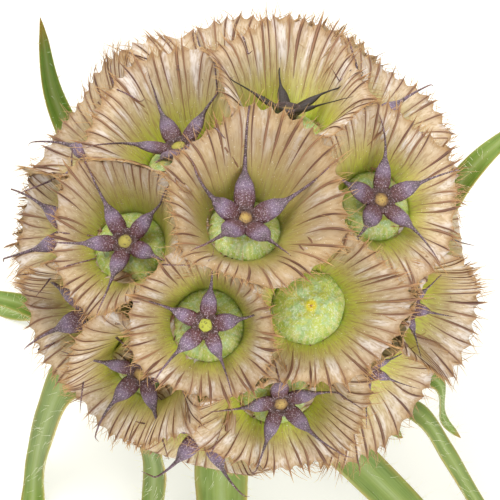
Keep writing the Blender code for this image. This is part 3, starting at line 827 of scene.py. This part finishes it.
def buildStar(index):
    # Five arms, each a tube of changing width on a curved path: a swollen lobe, a neck and a needle awn.
    look, random = starLook, np.random.default_rng(1300 + index)
    arms, stations, sides = look["arms"], look["stations"], look["sides"]
    out, height, wide, deep = sectionAt(look["section"], stations)
    size, slim = look["size"].get(index, 1.0), look["slim"].get(index, look["slimElse"])
    wide, deep, out = wide * size * slim, deep * size * slim, out * size
    height = look["seat"] + (height - look["seat"]) * size
    lengthen = random.uniform(*look["lengthen"], arms)[:, None]
    beyond = np.clip((out - look["awnFrom"]) / 4.0, 0, 1)[None, :]  # from 0 at the lobe's end to 1 far out
    out = out[None, :] * (1 - beyond * (1 - lengthen))
    out = out * np.array(look["armLength"].get(index, [1.0] * arms))[:, None]
    rise = random.normal(0, look["awnRise"], arms)[:, None] * beyond
    swing = random.normal(0, look["awnTurn"], arms)[:, None] * beyond ** 1.5
    swing = swing + random.normal(0, look["armTurn"], arms)[:, None]
    bearing = spin[index] + evenTurn(arms)[:, None] + swing
    paths = (bodyPlace[index] + bodyAxis[index] * (height[None, :] + rise)[..., None]
             + ringWay(bearing, bodyAway[index], bodySide[index]) * out[..., None])
    lifted = raiseOver(index, paths, look["clearance"])
    paths = holdInside(paths + (lifted - paths) * smoothStep(beyond * 3)[..., None], furthest["star"])
    plump = random.uniform(*look["plump"], arms)[:, None]
    points, faces = tubes(paths, ringSideways(bearing, bodyAway[index], bodySide[index]),
                          wide[None, :] * plump, deep[None, :] * plump, sides)
    along = np.broadcast_to(0.09 + 0.91 * np.linspace(0, 1, stations), (arms, stations))
    tone = np.full(arms * stations * sides, look["dark"].get(index, random.uniform(0.0, 0.2)))
    return makePiece("calyx_%02d" % (index + 1), toWorld(points), faces, materials["calyx"],
                     {"along": np.repeat(along, sides, axis=1).ravel(), "tone": tone})


eyeLook = {
    # the star's middle: neck from the fruit, raised rim and a tan dot in the hollow
    "columns": 30, "ripple": 0.05,
    "section": [(0.75, 1.3), (0.7, 1.75), (0.95, 2.0), (1.15, 2.2), (1.05, 2.46), (0.86, 2.54),
                (0.68, 2.44), (0.56, 2.28), (0.42, 2.30), (0.2, 2.38), (0.003, 2.40)],
    "along": [0.16, 0.16, 0.16, 0.14, 0.12, 0.10, 0.085, 0.07, 0.045, 0.012, 0.0],
}


def buildEye(index):
    # turned round the fruit's axis, out = r(t) (1 + d cos(5 b)), so that it bulges a little towards the arms
    section, bearing = np.array(eyeLook["section"]), evenTurn(eyeLook["columns"])
    bulge = 1 + eyeLook["ripple"] * np.cos(starLook["arms"] * (bearing - spin[index]))
    radius = section[:, 0][:, None] * bulge[None, :]
    towards = ringWay(bearing, bodyAway[index], bodySide[index])
    points = (bodyPlace[index] + bodyAxis[index] * section[:, 1][:, None, None]
              + towards[None] * radius[..., None])
    along = np.repeat(eyeLook["along"], len(bearing))
    return makePiece("eye_%02d" % (index + 1), toWorld(points.reshape(-1, 3)),
                     cappedRings(len(section), len(bearing)), materials["calyx"],
                     {"along": along, "tone": np.full(len(along), starLook["dark"].get(index, 0.0) * 0.5),
                      "green": (along < 0.06) * starLook["greenEye"].get(index, 0.0)})


coreLook = {"rows": 60, "columns": 96, "radius": 9.55, "bump": 0.10, "lowest": -9.0}


def buildCore():
    # the ball under the fruits: a sphere r + d cos(14 p) cos(11 t + 3 p) with its underside flattened
    polar = np.linspace(0.01, np.pi - 0.01, coreLook["rows"])[:, None]
    turn = evenTurn(coreLook["columns"])[None, :]
    radius = coreLook["radius"] + coreLook["bump"] * np.cos(14 * polar) * np.cos(11 * turn + 3 * polar)
    points = np.stack([radius * np.sin(polar) * np.cos(turn), radius * np.sin(polar) * np.sin(turn),
                       np.maximum(radius * np.cos(polar), coreLook["lowest"])], axis=-1).reshape(-1, 3)
    faces = cappedRings(coreLook["rows"], coreLook["columns"], turned=True)
    return makePiece("core", toWorld(points), faces, materials["core"])


headPieces = [buildCore()]
for index in np.argsort(-order):
    headPieces += [buildFunnel(index), buildVeins(index), buildFringe(index), buildDome(index)]
for index in range(fruitCount):
    if index != starlessFruit:
        headPieces += [buildStar(index), buildEye(index)]
for piece in headPieces:
    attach(piece, "root")
    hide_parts("seed_head")
print("head built:", len(headPieces), "pieces")


# Bracts

toe = -headHeight + 0.1  # mm, the midrib of a bract where it lies on the surface
ground = -headHeight + 0.02  # mm, no hair comes lower
hairLook = {"stations": 4, "radius": 0.013, "tip": 0.25}  # mm at the root, and the part of it at the tip
bractLook = {
    "thickness": 0.5, "stations": 72, "across": 15,
    # its hairs, their length in mm, and how many of them stand on the margins and on the upper face
    "hairs": 260, "hairLong": 0.85, "onMargin": 0.45, "above": 0.62,
    # the blade, as shares: where it is widest, how wide at its root, what it narrows by, how long its end is
    "widest": 0.34, "rootWide": 0.5, "taper": 0.84, "endLong": 0.06,
    # its section: how steeply it folds, the margins' waves in mm and in radians over the leaf, and the keel
    "fold": 0.22, "wave": 0.05, "waves": 26, "keelDeep": 0.05, "keelWide": 0.16,
    # width, roll, and points along the midrib: distance from the stalk's axis, height, plan bearing
    "leaves": [
        (3.0, 0, [(4.95, -10.9, 130), (7.5, -13.2, 130), (10.8, -15.6, 130), (17.5, -13.6, 131),
                  (23, -7, 131), (26.2, 0, 128)]),
        (2.6, 0, [(4.95, -10.9, 34), (7.5, -13.2, 34), (10.8, -15.4, 34), (16.2, -13.0, 33),
                  (19.8, -7.4, 33), (23, -5, 33), (27, -3.2, 32)]),
        (2.6, 0, [(4.95, -10.9, 168), (7.5, -13.2, 169), (10.8, -15.4, 170), (15.0, -14.4, 171),
                  (18.4, -12.4, 172), (22.2, -11.6, 172)]),
        (4.2, 0, [(3.95, -12.7, 190), (6.8, -14.5, 191), (10.4, -15.8, 190), (14.2, -15.6, 190),
                  (16.4, -20, 195), (17.7, -24, 199), (19.2, toe, 207), (22.2, toe, 214)]),
        (2.5, 0, [(4.95, -10.9, 221), (7.5, -13.4, 222), (10.4, -16.0, 224), (10.9, -20, 228),
                  (11.8, -24.2, 230), (14.2, toe, 236), (17.6, toe, 242)]),
        (4.2, 0, [(3.95, -12.7, 256), (6.8, -14.8, 256), (9.4, -17.0, 257), (10.4, -21, 258),
                  (11.6, -24.6, 259), (14.1, toe, 261), (17.5, toe, 263)]),
        (3.3, 0, [(3.95, -12.7, 308), (6.8, -14.4, 308), (10.2, -15.6, 310), (13.0, -17.9, 314),
                  (16.6, -22.2, 319), (19.4, -25.4, 321), (22.4, toe, 321), (26.0, toe, 319)]),
        (2.0, 25, [(3.95, -12.7, 342), (6.8, -14.8, 341), (10.4, -15.8, 338), (14.4, -14.9, 335),
                   (17.0, -18.0, 333), (19.3, -21.8, 332), (21.8, -25.3, 331), (24.4, toe, 329),
                   (27.2, toe, 327)]),
        (1.7, 0, [(4.95, -10.9, 354), (7.5, -13.2, 354), (10.8, -15.4, 353), (14.7, -15.5, 349),
                  (15.6, -18.0, 343), (17.2, -20.0, 342)]),
        (1.7, 0, [(4.95, -10.9, 322), (7.5, -13.1, 323), (10.2, -15.0, 325), (12.4, -15.6, 328),
                  (13.6, -17.2, 330)]),
        (3.0, 0, [(3.95, -12.7, 60), (6.8, -14.9, 60), (10.4, -17.0, 60), (14.6, -20.6, 60),
                  (17.6, -24.6, 61), (20.4, toe, 62), (23.6, toe, 63)]),
        (3.2, 0, [(3.95, -12.7, 103), (6.8, -14.9, 103), (10.4, -17.0, 102), (14.2, -20.8, 101),
                  (17.0, -24.7, 100), (19.8, toe, 99), (23.2, toe, 98)]),
        (2.8, 0, [(3.95, -12.7, 148), (6.8, -14.9, 148), (10.4, -17.0, 149), (14.8, -20.2, 150),
                  (18.4, -24.4, 152), (21.2, toe, 154), (24.4, toe, 155)]),
    ],
}


def midrib(waypoints, place):
    # a smooth curve through every waypoint, in mm from the ball's centre: between two of them runs a cubic
    # whose slope at each is half the step between that waypoint's neighbours
    waypoints = np.array(waypoints, dtype=float)
    turn = np.radians(waypoints[:, 2])
    knots = np.stack([waypoints[:, 0] * np.cos(turn), waypoints[:, 0] * np.sin(turn), waypoints[:, 1]], 1)
    knots = np.concatenate([[2 * knots[0] - knots[1]], knots, [2 * knots[-1] - knots[-2]]])
    last = len(waypoints) - 1
    index = np.minimum((place * last).astype(int), last - 1)
    t = (place * last - index)[:, None]
    p0, p1, p2, p3 = (knots[index + shift] for shift in range(4))
    return 0.5 * (2 * p1 + (p2 - p0) * t + (2 * p0 - 5 * p1 + 4 * p2 - p3) * t ** 2
                  + (3 * p1 - p0 - 3 * p2 + p3) * t ** 3)


def bractFrames(width, roll, waypoints, place):
    # midrib points with the directions across and out of the blade's upper face, and its half width
    middle = midrib(waypoints, place)
    before, after = np.maximum(place - 0.02, 0), np.minimum(place + 0.02, 1)
    ahead = unit(midrib(waypoints, after) - midrib(waypoints, before))
    side = unit(np.stack([-middle[:, 1], middle[:, 0], np.zeros(len(place))], axis=1))
    side = unit(side - (side * ahead).sum(1, keepdims=True) * ahead)
    face = np.cross(ahead, side)
    lean = np.radians(roll) * (1 - place)[:, None]
    face, side = face * np.cos(lean) + side * np.sin(lean), side * np.cos(lean) - face * np.sin(lean)
    widest, root = bractLook["widest"], bractLook["rootWide"]
    widening = root + (1 - root) * np.sin(np.clip(place / widest, 0, 1) * np.pi / 2)
    narrowing = 1 - bractLook["taper"] * np.clip((place - widest) / (1 - widest), 0, 1) ** 2
    point = np.sqrt(np.clip((1 - place) / bractLook["endLong"], 0.004, 1))
    return middle, ahead, side, face, width / 2 * np.where(place < widest, widening, narrowing) * point


def buildBract(number, width, roll, waypoints):
    # A blade whose section is a shallow channel with a keel: height = fold |u|^1.3 over the width, thickness
    # thinning from the keel to the margins, and the margins gently waved. It lies flat where it meets z = 0.
    look, random = bractLook, np.random.default_rng(2000 + number)
    stations, sides = look["stations"], 2 * look["across"]
    place = np.linspace(0, 1, stations)
    middle, ahead, side, face, half = bractFrames(width, roll, waypoints, place)
    share = np.linspace(-1, 1, look["across"])[None, :]
    phase = random.uniform(0, 2 * np.pi, 2)[0]
    ripple = look["wave"] * np.sin(place[:, None] * look["waves"] + phase + np.sign(share)) * share ** 2
    fold = (look["fold"] * half * (1 - place))[:, None] * np.abs(share) ** 1.3
    fold = fold + ripple * (1 - place[:, None])
    fold = fold - look["keelDeep"] * np.exp(-(share / look["keelWide"]) ** 2)
    thick = look["thickness"] * (0.32 + 0.68 * np.exp(-(share / 0.45) ** 2)) * (1 - 0.45 * place[:, None])
    thick = thick * np.sqrt(np.clip(half / half.max(), 0.02, 1))[:, None]
    spine = middle[:, None, :] + side[:, None, :] * (half[:, None] * share)[..., None]
    upper = spine + face[:, None, :] * (fold + thick / 2)[..., None]
    lower = spine + face[:, None, :] * (fold - thick / 2)[..., None]
    lower[..., 2] = np.maximum(lower[..., 2], -headHeight + 0.01)
    upper[..., 2] = np.maximum(upper[..., 2], lower[..., 2] + 0.02 + 0.5 * thick * (lower[..., 2] < toe))
    ring = np.concatenate([upper, lower[:, ::-1]], axis=1)
    shares = np.broadcast_to(np.concatenate([share[0], share[0][::-1]]), (stations, sides))
    alongs = np.broadcast_to(place[:, None], (stations, sides))
    fibre = np.stack([shares * 1.6, alongs * 0.8, np.full(shares.shape, 3.0 * number)], axis=-1)
    piece = makePiece("leaf_%02d" % number, toWorld(ring.reshape(-1, 3)), cappedRings(stations, sides),
                      materials["leaf"], {"across": np.abs(shares).ravel(), "along": alongs.ravel(),
                                          "fibre": fibre.reshape(-1, 3)})
    return [piece, growHairs("leaf_hairs_%02d" % number, random, upper, lower, face, side, ahead)]


def needles(name, base, lean, bend, long, across):
    # bent three-sided hairs, base + n l t + a l t^2, each thinner towards its tip and held above the ground
    t = np.linspace(0, 1, hairLook["stations"])[None, :, None]
    paths = base[:, None, :] + lean[:, None, :] * long * t + bend * long * t ** 2
    paths[..., 2] = np.maximum(paths[..., 2], ground)
    radius = hairLook["radius"] * np.linspace(1, hairLook["tip"], hairLook["stations"])[None, :]
    radius = radius * np.ones((len(base), 1))
    shape, faces = tubes(paths, np.broadcast_to(across, paths.shape), radius, radius, 3)
    return makePiece(name, toWorld(shape), faces, materials["hair"], smooth=False)


def growHairs(name, random, upper, lower, face, side, ahead):
    # hairs stand on both faces of a bract and lean outwards along its margins
    count, lastColumn = bractLook["hairs"], upper.shape[1] - 1
    station = random.integers(2, upper.shape[0] - 4, count)
    column = random.integers(0, lastColumn + 1, count)
    onMargin = random.uniform(0, 1, count) < bractLook["onMargin"]
    column = np.where(onMargin, np.where(random.uniform(0, 1, count) < 0.5, 0, lastColumn), column)
    above = random.uniform(0, 1, count) < bractLook["above"]
    base = np.where(above[:, None], upper[station, column], lower[station, column])
    rise = face[station] * np.where(above, 1.0, -1.0)[:, None] * np.where(onMargin, 0.25, 1.0)[:, None]
    outwards = np.sign(column - upper.shape[1] / 2) * np.where(onMargin, 1.0, 0.3)
    forwards = random.uniform(0.1, 0.8, count)
    lean = unit(rise + side[station] * outwards[:, None] + ahead[station] * forwards[:, None]
                + random.normal(0, 0.25, (count, 3)))
    long = bractLook["hairLong"] * random.uniform(0.4, 1.15, count)[:, None, None]
    bend = random.normal(0, 0.22, (count, 3))[:, None, :]
    return needles(name, base, lean, bend, long, side[station][:, None, :])


for number, (width, roll, waypoints) in enumerate(bractLook["leaves"], start=1):
    for piece in buildBract(number, width, roll, waypoints):
        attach(piece, "root")
        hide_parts("bract_%02d" % number)
print("bracts built")


# Receptacle and stalk

stalkLook = {
    "columns": 48, "rings": 90, "ribs": 9, "ribDepth": 0.035,
    "hairs": 420, "hairShort": 0.3, "hairLong": 0.9,
    # distance from the axis and height from the ball's middle
    "section": [(3.3, -9.35), (4.2, -9.8), (4.5, -10.8), (4.0, -11.9), (3.1, -12.9), (2.0, -14.2),
                (1.45, -15.6), (1.3, -18.0), (1.28, -21.0), (1.28, -24.0), (1.27, -25.8), (1.2, -25.98)],
}


def buildStalk():
    # turned outline with shallow ribs, out = r(z) (1 - d (1 - cos(n b)) / 2), with a flat top and a cut end
    out, height = sectionAt(stalkLook["section"], stalkLook["rings"])
    columns = stalkLook["columns"]
    turn = evenTurn(columns)
    ribs = (0.5 - 0.5 * np.cos(stalkLook["ribs"] * turn))[None, :]
    radius = out[:, None] * (1 - stalkLook["ribDepth"] * ribs)
    points = np.stack([radius * np.cos(turn), radius * np.sin(turn),
                       np.broadcast_to(height[:, None], radius.shape)], axis=-1).reshape(-1, 3)
    stalk = makePiece("stalk", toWorld(points), cappedRings(len(out), columns, turned=True),
                      materials["stalk"])
    random, count = np.random.default_rng(77), stalkLook["hairs"]
    pick = random.integers(20, len(out) - 3, count) * columns + random.integers(0, columns, count)
    lean = unit(points[pick] * np.array([1.0, 1.0, 0.0]))
    lean = unit(lean + random.normal(0, 0.3, (count, 3)))
    long = random.uniform(stalkLook["hairShort"], stalkLook["hairLong"], count)[:, None, None]
    return [stalk, needles("stalk_hairs", points[pick], lean, 0.0, long, np.array([0.0, 0.0, 1.0]))]


for piece in buildStalk():
    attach(piece, "root")
    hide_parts("peduncle")
print("stalk built")


# Floor, lights and camera

stageLook = {
    # metres, with the picture's width in mm; then the strength of the room's light and of the floor's own
    "floor": 3.0, "cameraDistance": 0.42, "frameWidth": 37.5, "world": 0.72, "floorGlow": 0.56,
    # by light: place from the ball's middle and width in metres, power, and colour
    "lights": {"key": ((-0.16, 0.06, 0.44), 0.30, 1.55, (255, 252, 247)),
               "fill": ((0.22, -0.36, 0.20), 0.40, 1.6, (255, 254, 252)),
               "back": ((0.05, 0.36, 0.26), 0.30, 0.85, (255, 252, 247))},
}


def buildStage():
    corners = np.array([(-1, -1, 0), (1, -1, 0), (1, 1, 0), (-1, 1, 0)], dtype=float) * stageLook["floor"]
    material, tree, shader = newMaterial("floor", 0.9)
    shader.inputs["Base Color"].default_value = colour(188, 187, 182)
    shader.inputs["Emission Color"].default_value = colour(255, 254, 248)
    shader.inputs["Emission Strength"].default_value = stageLook["floorGlow"]
    floor = makePiece("floor", corners - np.array([0, 0, 0.00002]), [np.array([[0, 1, 2, 3]])], material,
                      smooth=False)
    world = bpy.data.worlds.new("studio")
    world.use_nodes = True
    world.node_tree.nodes["Background"].inputs["Color"].default_value = colour(252, 251, 248)
    world.node_tree.nodes["Background"].inputs["Strength"].default_value = stageLook["world"]
    bpy.context.scene.world = world


def aim(thing, place, target):
    thing.location = place
    thing.rotation_euler = (Vector(target) - Vector(place)).to_track_quat("-Z", "Y").to_euler()


def addLight(name, place, size, power, shade):
    data = bpy.data.lights.new(name, "AREA")
    data.shape, data.size, data.energy, data.color = "DISK", size, power, colour(*shade)[:3]
    light = bpy.data.objects.new(name, data)
    bpy.context.scene.collection.objects.link(light)
    aim(light, headCentre + np.array(place), headCentre)


def addCamera():
    data = bpy.data.cameras.new("camera")
    data.sensor_width = 36.0
    data.lens = data.sensor_width * stageLook["cameraDistance"] / (stageLook["frameWidth"] * mm)
    data.clip_start = 0.01
    camera = bpy.data.objects.new("camera", data)
    bpy.context.scene.collection.objects.link(camera)
    aim(camera, headCentre + viewToward * stageLook["cameraDistance"], headCentre)
    bpy.context.scene.camera = camera


bpy.context.scene.view_settings.view_transform = "Standard"
buildStage()
for name, settings in stageLook["lights"].items():
    addLight(name, *settings)
addCamera()
print("stage set")
